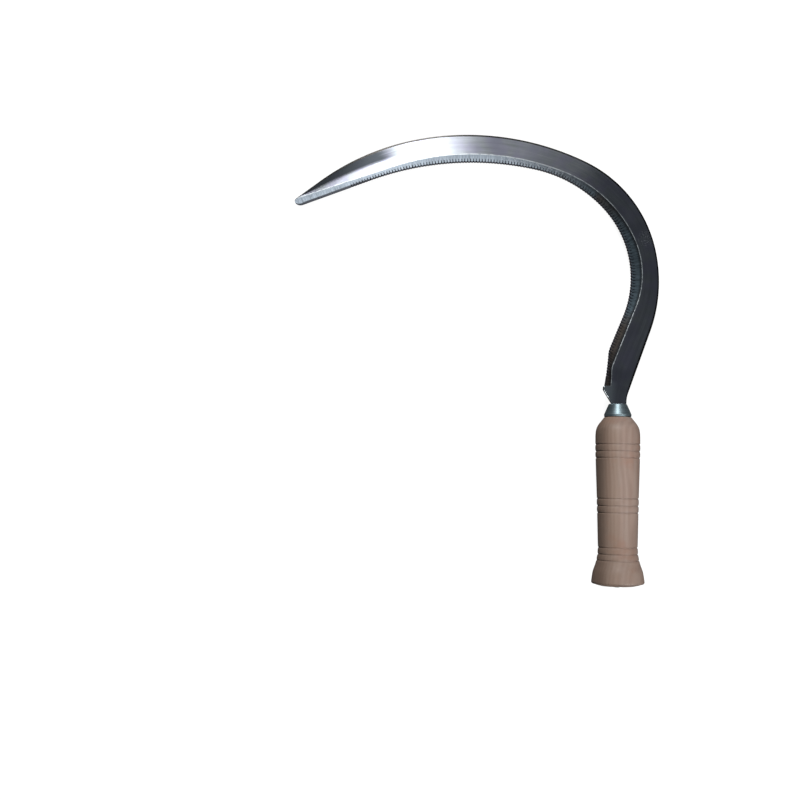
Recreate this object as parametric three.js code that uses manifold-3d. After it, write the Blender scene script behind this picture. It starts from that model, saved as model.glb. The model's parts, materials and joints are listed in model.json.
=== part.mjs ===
// A hand sickle: a curved steel blade, ground and serrated along its inner edge, whose tang runs right
// through a turned wooden handle and is riveted over a washer at the butt.
//
// Millimetres, +Z up. The sickle lies on its flat side: +Y runs along the handle towards the blade, the
// blade's hook opens towards -X, and the ground side faces up. It rests on the handle's flare and on the
// blade's outer bend, and the origin is on that surface, under the middle of the sickle's box.
//
// The pieces are drawn in the tool's own frame, where the handle's axis is the Y axis, y = 0 is the flat
// end of the butt, and the plate of the blade is centred on z = 0.
import * as THREE from "three";
import * as BufferGeometryUtils from "three/addons/utils/BufferGeometryUtils.js";
import Module from "manifold-3d";

const wasm = await Module();
wasm.setup();

const GAP = 0.3; // left between pieces that touch

// ---- Blade --------------------------------------------------------------------------------------------
const PLATE_THICKNESS = 2;
const PLATE_TOP = PLATE_THICKNESS / 2;
const LINE_STEP = 5; // spacing of the points along the blade's long curves

// Each line of the blade is a chain of arcs. It starts at a point with a heading in degrees, and each bend
// is [length, radius]: a positive radius turns left, a negative one turns right.
const STRAIGHT = Infinity;
const SPINE = {
  start: [6.6, 138.7],
  heading: 91.8,
  bends: [
    [7.5, -20],
    [51, STRAIGHT],
    [66, 115],
    [88.5, 98.5],
    [139.5, 207.5],
    [77, 184],
    [22.5, STRAIGHT],
  ],
};
const EDGE = {
  start: [-10.2, 152],
  heading: 80,
  bends: [
    [24, 243],
    [6, -19],
    [25.7, STRAIGHT],
    [91.5, 79],
    [60.3, 101],
    [128.5, 225],
    [56.5, STRAIGHT],
  ],
};
const RIDGE = {
  start: [-5.8, 148.8],
  heading: 82.5,
  bends: [
    [5, STRAIGHT],
    [9, 64],
    [5, -13],
    [48.4, STRAIGHT],
    [57, 69],
    [73.5, 99],
    [136, 191],
    [90, STRAIGHT],
  ],
};
const TIP_HANDLE = 4.5; // how far the rounded tip carries on in each line's direction

// Heel: the full-thickness tab between the ground edge and the ferrule.
const HEEL_CORNER = [-11.2, 151];
const HEEL_POINT = [-11.4, 148.6];
const HEEL_FOOT = [-5.1, 138.1];
const HEEL_LINE_START = [-4.1, 153.4]; // the grinding stops at this line
const HEEL_LINE_END = [-14.1, 150.8];

// Hollow grinding, from the ridge down to the cutting edge. It drops as far where it is narrow as where it
// is wide, so that the edge is thin all along.
const GRIND_DROP = 1.8;
const GRIND_HOLLOW = 0.17;
const GRIND_SHARES = [-0.1, 0.3, 0.65, 1]; // of the width, where its section has its points
const GRIND_REACH = 1.7; // how far it is carried on past the edge, in widths
const GRIND_STEP = 5;
const GRIND_TOP = 3; // how high above the middle of the plate it clears

// Serrations: notches filed across the ground face.
const TOOTH_PITCH = 2.25;
const TOOTH_FIRST = 8; // distance along the edge from the heel
const TOOTH_LAST = 354;
const NOTCH_LENGTH = 2.4; // from the edge to the notch's inner point
const NOTCH_OVERHANG = 1;
const NOTCH_HALF_WIDTH = 0.52; // at the edge

// Tang: a tapered strip through the handle, riveted over the washer.
const SHOULDER_Y = 138.1;
const TANG_TOP_HALF_WIDTH = 3.5;
const TANG_END_HALF_WIDTH = 2;
const TANG_END_Y = -0.8;
const SLOT_OVERSHOOT = 5; // how far the cutter of the tang's slots runs past both its ends
const RIVET_RADIUS = 3.4;
const RIVET_HEIGHT = 1;

// ---- Ferrule ------------------------------------------------------------------------------------------
const SHEET = 0.8;
const FERRULE_FOOT_Y = 128;
const FERRULE_TOP_Y = 137.8;
// Outer radius and height, from the foot band up the cone to the rounded top.
const FERRULE_OUTSIDE = [
  [10.3, FERRULE_FOOT_Y],
  [10.25, 129.8],
  [9.8, 131],
  [9, 132.9],
  [8, 135.1],
  [7.2, 136.9],
  [6.95, 137.45],
  [6.4, FERRULE_TOP_Y],
];

// ---- Handle -------------------------------------------------------------------------------------------
const HANDLE_SIDES = 40;
const OUTLINE_STEP = 7; // spacing of the extra rings between the outline's points
// Radius and height of the turned outline above the butt's rim, without its grooves.
const HANDLE_OUTLINE = [
  [19.9, 4.1],
  [18.8, 10.7],
  [16.8, 16.6],
  [15.4, 22.4],
  [14.9, 28.3],
  [15.1, 37],
  [15.7, 64.5],
  [16.5, 90],
  [16.9, 110],
  [16.5, 117.4],
  [15, 121.4],
  [12.5, 124.8],
  [10.3, 127.6],
];
const BUTT_FLAT_RADIUS = 12;
const BUTT_RIM_RADIUS = 20;
const BUTT_RIM_Y = 2.2;
const GROOVE_CENTRES = [19.3, 23.9, 28.9, 55.1, 60.3, 65.8, 96.6, 101.6, 106.8];
const GROOVE_HALF_WIDTH = 0.85;
const GROOVE_DEPTH = 0.6;

// ---- Washer -------------------------------------------------------------------------------------------
const WASHER_RADIUS = 7;
const WASHER_THICKNESS = 1.2;
const WASHER_CHAMFER = 0.3;
const WASHER_SIDES = 32;

// ---- How it lies --------------------------------------------------------------------------------------
const LIE_PITCH = -3.94; // about X, so that the outer bend comes down to the surface
const LIE_ROLL = 0.05; // about Y

// A plane curve made of arcs, measured by its own length.
class ArcChain {
  constructor({ start, heading, bends }) {
    this.arcs = [];
    this.length = 0;
    let point = new THREE.Vector2(...start);
    let angle = THREE.MathUtils.degToRad(heading);
    for (const [length, radius] of bends) {
      const arc = { from: this.length, length, radius, point, angle };
      this.arcs.push(arc);
      this.length += length;
      point = this.pointOn(arc, length);
      angle += length / radius;
    }
  }

  pointOn(arc, distance) {
    const turn = distance / arc.radius;
    const chord = turn === 0 ? distance : 2 * arc.radius * Math.sin(turn / 2);
    const along = new THREE.Vector2(chord, 0).rotateAround(new THREE.Vector2(), arc.angle + turn / 2);
    return along.add(arc.point);
  }

  arcAt(distance) {
    return this.arcs.findLast((arc) => arc.from <= distance) ?? this.arcs[0];
  }

  pointAt(distance) {
    const arc = this.arcAt(distance);
    return this.pointOn(arc, distance - arc.from);
  }

  // The direction of travel, as a unit vector.
  directionAt(distance) {
    const arc = this.arcAt(distance);
    const angle = arc.angle + (distance - arc.from) / arc.radius;
    return new THREE.Vector2(Math.cos(angle), Math.sin(angle));
  }

  points(step) {
    const count = Math.round(this.length / step);
    return Array.from({ length: count + 1 }, (_, i) => this.pointAt((i * this.length) / count));
  }
}

const spine = new ArcChain(SPINE);
const edge = new ArcChain(EDGE);
const ridge = new ArcChain(RIDGE);

// ---- Solids -------------------------------------------------------------------------------------------
function solidOf(geometry) {
  const bare = new THREE.BufferGeometry();
  bare.setAttribute("position", geometry.getAttribute("position"));
  bare.setIndex(geometry.index);
  const merged = BufferGeometryUtils.mergeVertices(bare, 1e-4);
  const corners = Array.from(merged.index.array);
  const kept = [];
  for (let i = 0; i < corners.length; i += 3) {
    const [a, b, c] = corners.slice(i, i + 3);
    if (a !== b && b !== c && c !== a) kept.push(a, b, c);
  }
  return new wasm.Manifold(
    new wasm.Mesh({
      numProp: 3,
      vertProperties: merged.attributes.position.array,
      triVerts: new Uint32Array(kept),
    }),
  );
}

function geometryOf(solid) {
  const { vertProperties, triVerts } = solid.getMesh();
  const geometry = new THREE.BufferGeometry();
  geometry.setAttribute("position", new THREE.BufferAttribute(vertProperties, 3));
  geometry.setIndex(new THREE.BufferAttribute(triVerts, 1));
  geometry.computeVertexNormals();
  return geometry;
}

// A flat plate of the given outline, centred on z = 0.
function plate(outline, thickness) {
  const shape = new THREE.Shape(outline.map((point) => new THREE.Vector2(...point)));
  const geometry = new THREE.ExtrudeGeometry(shape, { depth: thickness, bevelEnabled: false });
  return geometry.translate(0, 0, -thickness / 2);
}

// A body turned about the Y axis, from its [radius, height] profile.
function turned(profile, sides) {
  return new THREE.LatheGeometry(profile.map((point) => new THREE.Vector2(...point)), sides);
}

// A closed body through rings of points, each turning the same way about the way from ring to ring.
function lofted(rings) {
  const count = rings[0].length;
  const corners = [];
  for (let i = 0; i + 1 < rings.length; i++) {
    for (let j = 0; j < count; j++) {
      const [a, b] = [i * count + j, i * count + ((j + 1) % count)];
      corners.push(a, b, b + count, a, b + count, a + count);
    }
  }
  const last = (rings.length - 1) * count;
  for (let j = 1; j + 1 < count; j++) {
    corners.push(0, j + 1, j, last, last + j, last + j + 1);
  }
  const geometry = new THREE.BufferGeometry().setFromPoints(rings.flat());
  return geometry.setIndex(corners);
}

// The height of the ground face at a share of the way from the ridge to the cutting edge.
function groundHeight(share) {
  const t = Math.min(share, 1);
  return PLATE_TOP - GRIND_DROP * t - 4 * GRIND_HOLLOW * t * (1 - t);
}

function tangHalfWidth(y) {
  const share = (y - TANG_END_Y) / (SHOULDER_Y - TANG_END_Y);
  return THREE.MathUtils.lerp(TANG_END_HALF_WIDTH, TANG_TOP_HALF_WIDTH, share);
}

// ---- Blade --------------------------------------------------------------------------------------------
function bladeOutline() {
  const spineEnd = spine.pointAt(spine.length);
  const edgeEnd = edge.pointAt(edge.length);
  const tip = new THREE.CubicBezierCurve(
    spineEnd,
    spine.directionAt(spine.length).multiplyScalar(TIP_HANDLE).add(spineEnd),
    edge.directionAt(edge.length).multiplyScalar(TIP_HANDLE).add(edgeEnd),
    edgeEnd,
  );
  return [
    [tangHalfWidth(SHOULDER_Y), SHOULDER_Y],
    [SPINE.start[0], SHOULDER_Y],
    ...spine.points(LINE_STEP).map((p) => [p.x, p.y]),
    ...tip.getPoints(8).slice(1, -1).map((p) => [p.x, p.y]),
    ...edge.points(LINE_STEP).reverse().map((p) => [p.x, p.y]),
    HEEL_CORNER,
    HEEL_POINT,
    HEEL_FOOT,
    [-tangHalfWidth(SHOULDER_Y), SHOULDER_Y],
    [-TANG_END_HALF_WIDTH, TANG_END_Y],
    [TANG_END_HALF_WIDTH, TANG_END_Y],
  ];
}

function distanceTo(line, point) {
  return Math.min(...line.points(1).map((p) => p.distanceTo(point)));
}

// One section of the space that grinding clears above the hollow face, from the ridge past the edge.
function grindingSection(distance) {
  const onRidge = ridge.pointAt(distance);
  const along = ridge.directionAt(distance);
  const width = distanceTo(edge, onRidge);
  const place = (share, z) => new THREE.Vector3(
    onRidge.x - along.y * width * share,
    onRidge.y + along.x * width * share,
    z,
  );
  return [
    place(GRIND_SHARES[0], GRIND_TOP),
    ...GRIND_SHARES.map((share) => place(share, groundHeight(share))),
    place(GRIND_REACH, groundHeight(1)),
    place(GRIND_REACH, GRIND_TOP),
  ];
}

function grindingCutter() {
  const count = Math.round(ridge.length / GRIND_STEP);
  const sections = Array.from({ length: count + 1 }, (_, i) => grindingSection((i * ridge.length) / count));
  const kept = [
    HEEL_LINE_START,
    HEEL_LINE_END,
    [HEEL_LINE_END[0], SHOULDER_Y],
    [SPINE.start[0], SHOULDER_Y],
    [SPINE.start[0], HEEL_LINE_START[1]],
  ];
  return solidOf(lofted(sections)).subtract(solidOf(plate(kept, 3 * GRIND_TOP)));
}

// A four-sided spike whose point lies in the ground face and whose base hangs past the edge.
function notch(distance) {
  const onEdge = edge.pointAt(distance);
  const along = edge.directionAt(distance);
  const outward = new THREE.Vector2(-along.y, along.x);
  const base = outward.clone().multiplyScalar(NOTCH_OVERHANG).add(onEdge);
  const point = outward.clone().multiplyScalar(-NOTCH_LENGTH).add(onEdge);
  const pointHeight = groundHeight(1 - NOTCH_LENGTH / distanceTo(ridge, onEdge));
  const slope = (pointHeight - groundHeight(1)) / NOTCH_LENGTH;
  const from = new THREE.Vector3(base.x, base.y, groundHeight(1) - slope * NOTCH_OVERHANG);
  const to = new THREE.Vector3(point.x, point.y, pointHeight);
  const axis = to.clone().sub(from);
  const length = axis.length();
  axis.normalize();
  const side = new THREE.Vector3(along.x, along.y, 0);
  const baseHalfWidth = (NOTCH_HALF_WIDTH * (NOTCH_LENGTH + NOTCH_OVERHANG)) / NOTCH_LENGTH;
  const spike = new THREE.ConeGeometry(baseHalfWidth, length, 4);
  const frame = new THREE.Matrix4().makeBasis(side, axis, side.clone().cross(axis));
  frame.setPosition(from.add(to).multiplyScalar(0.5));
  return spike.applyMatrix4(frame);
}

function rivetHead() {
  return turned(
    [
      [0, -GAP - RIVET_HEIGHT],
      [RIVET_RADIUS * 0.55, -GAP - RIVET_HEIGHT * 0.9],
      [RIVET_RADIUS * 0.88, -GAP - RIVET_HEIGHT * 0.55],
      [RIVET_RADIUS, -GAP],
      [0, -GAP],
    ],
    24,
  );
}

function bladeSolid() {
  let blade = solidOf(plate(bladeOutline(), PLATE_THICKNESS)).subtract(grindingCutter());
  for (let distance = TOOTH_FIRST; distance <= TOOTH_LAST; distance += TOOTH_PITCH) {
    blade = blade.subtract(solidOf(notch(distance)));
  }
  return blade.add(solidOf(rivetHead()));
}

// The slot that the tang passes through, with a gap all round.
function tangSlot() {
  const [low, high] = [-SLOT_OVERSHOOT, SHOULDER_Y + SLOT_OVERSHOOT];
  const outline = [
    [tangHalfWidth(low) + GAP, low],
    [tangHalfWidth(high) + GAP, high],
    [-tangHalfWidth(high) - GAP, high],
    [-tangHalfWidth(low) - GAP, low],
  ];
  return solidOf(plate(outline, PLATE_THICKNESS + 2 * GAP));
}

// ---- Ferrule: a drawn steel cup, slotted for the tang --------------------------------------------------
function ferruleInside(shrink) {
  return FERRULE_OUTSIDE.map(([radius, y]) => [
    radius - SHEET - shrink,
    Math.min(y, FERRULE_TOP_Y - SHEET - shrink),
  ]);
}

function ferruleSolid() {
  const inside = ferruleInside(0).reverse();
  const profile = [[0, FERRULE_TOP_Y - SHEET], ...inside, ...FERRULE_OUTSIDE, [0, FERRULE_TOP_Y]];
  return solidOf(turned(profile, HANDLE_SIDES)).subtract(tangSlot());
}

// ---- Handle: turned wood, with a tenon inside the ferrule and a seat for the washer ---------------------
function handleProfile() {
  const outline = new THREE.SplineCurve(HANDLE_OUTLINE.map(([radius, y]) => new THREE.Vector2(radius, y)));
  const dense = outline.getPoints(400);
  const radiusAt = (y) => {
    const i = Math.max(1, dense.findIndex((p) => p.y >= y));
    const [a, b] = [dense[i - 1], dense[i]];
    return THREE.MathUtils.mapLinear(y, a.y, b.y, a.x, b.x);
  };
  const low = HANDLE_OUTLINE[0][1];
  const high = HANDLE_OUTLINE.at(-1)[1];
  const plain = HANDLE_OUTLINE.map(([, y]) => y);
  for (let y = low + OUTLINE_STEP; y < high; y += OUTLINE_STEP) plain.push(y);
  const clear = plain.filter((y) => GROOVE_CENTRES.every((c) => Math.abs(c - y) > 2 * GROOVE_HALF_WIDTH));
  const points = clear.map((y) => [radiusAt(y), y]);
  for (const centre of GROOVE_CENTRES) {
    points.push([radiusAt(centre - GROOVE_HALF_WIDTH), centre - GROOVE_HALF_WIDTH]);
    points.push([radiusAt(centre) - GROOVE_DEPTH, centre]);
    points.push([radiusAt(centre + GROOVE_HALF_WIDTH), centre + GROOVE_HALF_WIDTH]);
  }
  points.sort((a, b) => a[1] - b[1]);
  const seat = WASHER_THICKNESS + GAP;
  return [
    [0, seat],
    [WASHER_RADIUS + GAP, seat],
    [WASHER_RADIUS + GAP, 0],
    [BUTT_FLAT_RADIUS, 0],
    [BUTT_RIM_RADIUS, BUTT_RIM_Y],
    ...points,
    [FERRULE_OUTSIDE[0][0], FERRULE_FOOT_Y - GAP],
    [FERRULE_OUTSIDE[0][0] - SHEET - GAP, FERRULE_FOOT_Y - GAP],
    ...ferruleInside(GAP),
    [0, FERRULE_TOP_Y - SHEET - GAP],
  ];
}

function handleSolid() {
  return solidOf(turned(handleProfile(), HANDLE_SIDES)).subtract(tangSlot());
}

// ---- Washer that the tang is riveted over ---------------------------------------------------------------
function washerSolid() {
  const profile = [
    [0, 0],
    [WASHER_RADIUS - WASHER_CHAMFER, 0],
    [WASHER_RADIUS, WASHER_CHAMFER],
    [WASHER_RADIUS, WASHER_THICKNESS],
    [0, WASHER_THICKNESS],
  ];
  return solidOf(turned(profile, WASHER_SIDES)).subtract(tangSlot());
}

// ---- Assembly -------------------------------------------------------------------------------------------
const brushedSteel = new THREE.MeshStandardMaterial({ color: 0x8b949c, roughness: 0.32, metalness: 1 });
const platedSteel = new THREE.MeshStandardMaterial({ color: 0xa9b6bc, roughness: 0.24, metalness: 1 });
const dullSteel = new THREE.MeshStandardMaterial({ color: 0x7c8084, roughness: 0.5, metalness: 1 });
const wood = new THREE.MeshStandardMaterial({ color: 0x96826f, roughness: 0.62, metalness: 0 });

function piece(name, solid, material) {
  const mesh = new THREE.Mesh(geometryOf(solid), material);
  mesh.name = name;
  return mesh;
}

const sickle = new THREE.Group();
sickle.add(
  piece("blade", bladeSolid(), brushedSteel),
  piece("ferrule", ferruleSolid(), platedSteel),
  piece("handle", handleSolid(), wood),
  piece("tang_washer", washerSolid(), dullSteel),
);
sickle.rotation.set(THREE.MathUtils.degToRad(LIE_PITCH), THREE.MathUtils.degToRad(LIE_ROLL), 0);

const part = new THREE.Group();
part.add(sickle);
part.updateMatrixWorld(true);
const box = new THREE.Box3().setFromObject(sickle, true);
const middle = box.getCenter(new THREE.Vector3());
sickle.position.set(-middle.x, -middle.y, -box.min.z);

export default part;
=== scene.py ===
"""A hand sickle, lying on its side under soft studio light.

The four pieces are the ones of the CAD model, made finer. Each is drawn in millimetres in the tool's own
frame, where the handle's axis is the Y axis, y = 0 is the flat end of the butt, the blade's plate is
centred on z = 0 and its ground side faces +Z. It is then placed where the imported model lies.
"""

import json
import math

import bmesh
import bpy
import numpy as np
from mathutils import Matrix, Vector


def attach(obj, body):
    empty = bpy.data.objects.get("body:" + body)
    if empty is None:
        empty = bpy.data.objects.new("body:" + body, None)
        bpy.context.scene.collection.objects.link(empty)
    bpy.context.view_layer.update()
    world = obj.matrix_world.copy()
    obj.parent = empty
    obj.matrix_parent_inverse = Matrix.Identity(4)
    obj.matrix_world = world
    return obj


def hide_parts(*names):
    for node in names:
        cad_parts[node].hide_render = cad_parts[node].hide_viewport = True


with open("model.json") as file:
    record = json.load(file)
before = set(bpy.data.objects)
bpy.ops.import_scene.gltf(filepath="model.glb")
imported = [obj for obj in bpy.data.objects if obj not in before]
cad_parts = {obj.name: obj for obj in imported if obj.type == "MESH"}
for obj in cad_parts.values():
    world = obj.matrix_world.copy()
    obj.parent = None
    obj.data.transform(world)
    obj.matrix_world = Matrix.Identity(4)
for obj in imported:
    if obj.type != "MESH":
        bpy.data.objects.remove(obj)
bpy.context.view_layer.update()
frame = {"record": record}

MM = 0.001
SEARCH_STEPS = 30  # for the search along a curve
MERGE_DISTANCE = 1e-3  # points nearer than this, in millimetres, are one

# ---- Blade, in millimetres ----
PLATE_TOP = 1.0
STRAIGHT = math.inf

# Each line is a chain of arcs: a start, a heading in degrees and bends of (length, radius). A positive
# radius turns left.
SPINE = (
    (6.6, 138.7),
    91.8,
    ((7.5, -20), (51, STRAIGHT), (66, 115), (88.5, 98.5), (139.5, 207.5), (77, 184), (22.5, STRAIGHT)),
)
EDGE = (
    (-10.2, 152),
    80,
    ((24, 243), (6, -19), (25.7, STRAIGHT), (91.5, 79), (60.3, 101), (128.5, 225), (56.5, STRAIGHT)),
)
RIDGE = (
    (-5.8, 148.8),
    82.5,
    ((5, STRAIGHT), (9, 64), (5, -13), (48.4, STRAIGHT), (57, 69), (73.5, 99), (136, 191), (90, STRAIGHT)),
)
TIP_HANDLE = 4.5
TIP_LENGTH = 4.5  # the last stretch of the edge, where the stations fan round to the point
TIP_STEPS = 22
TIP_Z = -0.6
TIP_TEXTURE = 1.6  # how far the texture runs on round the tip, in lengths of that stretch

HEEL_CORNER = Vector((-11.2, 151))
HEEL_POINT = Vector((-11.4, 148.6))
HEEL_FOOT = Vector((-5.1, 138.1))
HEEL_STEPS = 12
PLUNGE = Vector((-5.24, 153.1))  # where the grinding stops, on the ridge
PLUNGE_RUN = 0.3
EVEN_FROM = 8  # lines square to the ridge would cross in its tight bend, between these places along it
EVEN_TO = 28
SHOULDER_Y = 138.1
NECK_MIDDLE_X = 1.0
SPINE_GUESS = 12  # where the search along the spine and along the ridge starts
RIDGE_GUESS = 5

# Hollow grinding from the ridge to the cutting edge, then a narrow steeper bevel.
FACE_DROP = 1.45
FACE_HOLLOW = 0.17
BEVEL_WIDTH = 0.55
BEVEL_DROP = 0.35
RIDGE_BLEND = 0.45
EDGE_ROUND = 0.35

# These three keep the smooth pieces inside the box of the faceted CAD model.
BACK_LIFT = 0.03
SPINE_INSET = 0.04
HANDLE_INSET = 0.03

# The heel has a chamfer. Its rim has painted shade, and where the chamfer meets the face it has a painted
# highlight. Painted shade is a number above 0 and a painted highlight one below it.
CHAMFER_WIDTH = 0.7
CHAMFER_DROP = 0.4
HIGHLIGHT_FROM = 0.4
HIGHLIGHT_TO = 1.1
CHAMFER_HIGHLIGHT = -0.24
RIM_SHADE = 0.42

TOOTH_PITCH = 2.25
TOOTH_FIRST = 8
TOOTH_LAST = 354
NOTCH_LENGTH = 2.4
NOTCH_HALF_WIDTH = 0.66
NOTCH_DEPTH = 0.38
# The painted shade in each serration: how far it reaches from the cutting edge and how wide it is there.
SHADE_LENGTH = 2.5
SHADE_HALF_WIDTH = 0.74
THINNEST = 0.12  # where a notch would leave less than this, the outline is cut back
RECESS_STEP = 0.02
RECESS_STEPS = 100
NOTCH_STATIONS = (-1.125, -0.66, -0.33, 0.0, 0.33, 0.66)
PLAIN_STEP = 1.0
PLAIN_MARGIN = 0.4

# Rows across the blade. The first ones keep their distance from the cutting edge, the rest share what is
# left on each side of the ridge.
EDGE_ROWS = (0.0, 0.1, 0.25, 0.45, 0.7, 1.0, 1.35, 1.7, 2.05, 2.4)
GROUND_SHARES = (0.25, 0.5, 0.75)
RIDGE_ROWS = (0.45, 0.3, 0.15, 0.0, -0.15, -0.3, -0.45)
FACE_SHARES = (0.15, 0.3, 0.45, 0.6, 0.75, 0.9)
ROUND_ANGLES = (0, 30, 60, 90)
BACK_SHARES = (0.1, 0.3, 0.5, 0.7, 0.9)
NARROW = 8.0  # where the blade is narrower than this, the rows draw together

# Texture places across the blade, from the ridge over the spine and the back to the cutting edge.
SPREAD = 8.0  # how wide the texture is on each side of the ridge
ROUND_TOP_ACROSS = -8.5
SPINE_ACROSS = -9.5
ROUND_BACK_ACROSS = -10.5
BACK_ACROSS = -11
BACK_END_ACROSS = -27
TIP_ACROSS = 4
RIVET_ALONG = -160

# Marks tell the material the distance past the ridge towards the edge, the distance from the cutting edge,
# and how much painted shade, painted highlight and wear the surface has. Far stands for a place that has no
# ridge or edge.
FAR = 50.0
PLAIN_MARKS = (-FAR, FAR, 0.0)
RIM_SHADE_MARKS = (-FAR, FAR, RIM_SHADE)
RIVET_MARKS = (-FAR, FAR, -1.0)
TIP_MARKS = (4.0, 0.0, 0.0)

# Painted shade and light, stains and wear, in millimetres along the blade from the heel unless they are
# places in the tool's frame.
SHADED_TO = 150  # the ground face has painted shade up to here
BRIGHT_FROM = 260  # and bright from here
BLUE_RISE = (75, 100)  # its painted shade turns from brown to blue
MIXED_RISE = (150, 190)  # and then to a mix of both
GLINT_RISE = (185, 205)  # it has light flecks, painted glints of small pits, from here
GLINT_FALL = (262, 240)  # to here
TIP_SHADE_RISE = (325, 353)  # where the painted shade outside the tip begins
SCUFF = (22, 266, 1)  # the middle of a scuffed spot near the back
TIP_EDGE_SHADE = (350, 362)  # past these the painted shade along the cutting edge is wider
HEEL_LIGHTER_X = (5, -4)  # the heel is lighter left of here
HEEL_LIGHTER_Y = (157, 153)  # and below here

TANG_TOP_HALF_WIDTH = 3.5
TANG_END_HALF_WIDTH = 2.0
TANG_END_Y = -0.3
TANG_HALF_THICKNESS = 0.97
TANG_STEP = 10
RIVET_RADIUS = 3.4
RIVET_HEIGHT = 1.0
RIVET_RINGS = 9
DOME_POWER = 0.9
SLOT_OVERSHOOT = 5.0  # how far the cutter of the tang's slots runs past both its ends

# ---- Handle, ferrule and washer, in millimetres ----
SIDES = 144
GAP = 0.3
HANDLE_OUTLINE = (
    (19.9, 4.1), (18.8, 10.7), (16.8, 16.6), (15.4, 22.4), (14.9, 28.3), (15.1, 37), (15.7, 64.5),
    (16.5, 90), (16.9, 110), (16.5, 117.4), (15, 121.4), (12.5, 124.8), (10.3, 127.6),
)
GROOVE_SETS = ((19.3, 23.9, 28.9), (55.1, 60.3, 65.8), (96.6, 101.6, 106.8))
GROOVE_HALF_WIDTH = 0.85
GROOVE_DEPTH = 0.5
GROOVE_STEP = 0.15  # between the rings near a groove
SIDE_STEP = 0.5
BEAD_HEIGHT = 0.12
BUTT_FLAT_RADIUS = 12.0
BUTT_RIM_RADIUS = 20.0
BUTT_RIM_ROUND = 1.6
SEAT_ROUND = 0.25
SHOULDER_ROUND = 0.4
BUTT_MOUNT_X = 10  # how far from the axis the mount on the butt's end is

SHEET = 0.8
FERRULE_FOOT_Y = 128
FERRULE_TOP_Y = 137.8
FERRULE_BEAD_Y = 129.8
FERRULE_BEAD_HEIGHT = 0.1
FERRULE_BEAD_WIDTH = 0.35
FERRULE_FOOT_ROUND = 0.3
FERRULE_OUTSIDE = (
    (10.3, 128), (10.25, 129.8), (9.8, 131), (9, 132.9),
    (8, 135.1), (7.2, 136.9), (6.95, 137.45), (6.4, 137.8),
)

WASHER_RADIUS = 7.0
WASHER_THICKNESS = 1.2
WASHER_ROUND = 0.3
WASHER_TOP_ROUND = 0.15

# ---- Handle's colours ----
# Each range is the place where a tint begins and the place where it is full, across the handle in x or
# along it in y.
WARM_X = (4.0, -2.0)
# The next three darken the wood: painted shade on its left and right sides, and darker towards the butt.
DARK_LEFT_X = (-4.0, -13.5)
DARK_RIGHT_X = (9.0, 17.0)
DARK_LOW_Y = (62.0, 12.0)
PITH_X = 34.0  # how far the growth rings' middle is from the handle's axis
PITH_Z = 22.0
GROOVE_SHADE = 0.15
OUTSIDE_RADIUS = 12  # the painted shade of the grooves darkens only what is farther out; the slot lies nearer the axis

# ---- Camera, fine relief, light and floor, in metres ----
CAMERA_FROM_BUTT = Vector((-0.1664, 0.1385))  # where it stands above the floor
CAMERA_HEIGHT = 0.932
CAMERA_LENS = 54
CAMERA_ROLL = 0.727  # degrees
STEEL_RELIEF = 0.00004
WOOD_RELIEF = 0.00008

# Each light: name, azimuth and zenith in degrees, distance, size and power. Azimuth 0 is towards +X and 90
# towards +Y; zenith is from straight up.
LIGHTS = (
    ("key", 97.8, 46, 2.2, (0.5, 0.6), 58),
    ("second", 83, 46, 2.2, (0.6, 0.6), 3.2),
    ("third", 70, 46, 2.2, (0.5, 0.6), 2.5),
    ("fill", -48, 50, 1.6, (0.4, 0.4), 24),
)
LIGHT_TARGET = Vector((-0.03, 0.05, 0))
HORIZON_COLOUR = (0.2, 0.21, 0.23, 1)
SKY_COLOUR = (0.12, 0.129, 0.14, 1)
FLOOR_HALF_WIDTH = 6
FLOOR_BRIGHTNESS = 0.93


# ---- Placing ----
def mount(name):
    found = next(m for m in frame["record"]["mounts"] if m["name"] == name)
    return Vector(found["pos_m"]), Vector(found["axis"]).normalized()


def tool_frame():
    """The matrix from the tool's frame, in metres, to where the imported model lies."""
    _, up = mount("blade_front_face")
    butt, out_of_butt = mount("butt_face")
    along = -out_of_butt
    across = along.cross(up).normalized()
    origin = butt - across * BUTT_MOUNT_X * MM
    return Matrix.Translation(origin) @ Matrix((across, along, up)).transposed().to_4x4()


TOOL = tool_frame()


def add_object(name, data):
    made = bpy.data.objects.new(name, data)
    bpy.context.scene.collection.objects.link(made)
    return made


# ---- Plane curves ----
class ArcChain:
    """A plane curve made of arcs, measured by its own length. It runs on past both ends."""

    def __init__(self, start, heading, bends):
        self.arcs = []
        self.length = 0.0
        point = Vector(start)
        angle = math.radians(heading)
        for length, radius in bends:
            self.arcs.append((self.length, point, angle, radius))
            point = self.on_arc(point, angle, radius, length)
            angle += length / radius
            self.length += length

    @staticmethod
    def on_arc(point, angle, radius, distance):
        turn = distance / radius
        chord = distance if turn == 0 else 2 * radius * math.sin(turn / 2)
        return point + chord * Vector((math.cos(angle + turn / 2), math.sin(angle + turn / 2)))

    def arc_at(self, distance):
        found = [arc for arc in self.arcs if arc[0] <= distance]
        return found[-1] if found else self.arcs[0]

    def point(self, distance):
        begin, point, angle, radius = self.arc_at(distance)
        return self.on_arc(point, angle, radius, distance - begin)

    def direction(self, distance):
        begin, _, angle, radius = self.arc_at(distance)
        turned = angle + (distance - begin) / radius
        return Vector((math.cos(turned), math.sin(turned)))

    def foot(self, point, guess):
        """The distance along the curve at which it is nearest to the point."""
        for _ in range(SEARCH_STEPS):
            guess += (point - self.point(guess)).dot(self.direction(guess))
        return guess

    def crossing(self, origin, normal, guess):
        """The distance along the curve at which it meets the line through origin square to normal."""
        for _ in range(SEARCH_STEPS):
            slope = self.direction(guess).dot(normal)
            guess -= (self.point(guess) - origin).dot(normal) / slope
        return guess


def bezier(a, b, c, d, t):
    s = 1 - t
    return a * s**3 + b * 3 * s * s * t + c * 3 * s * t * t + d * t**3


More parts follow.
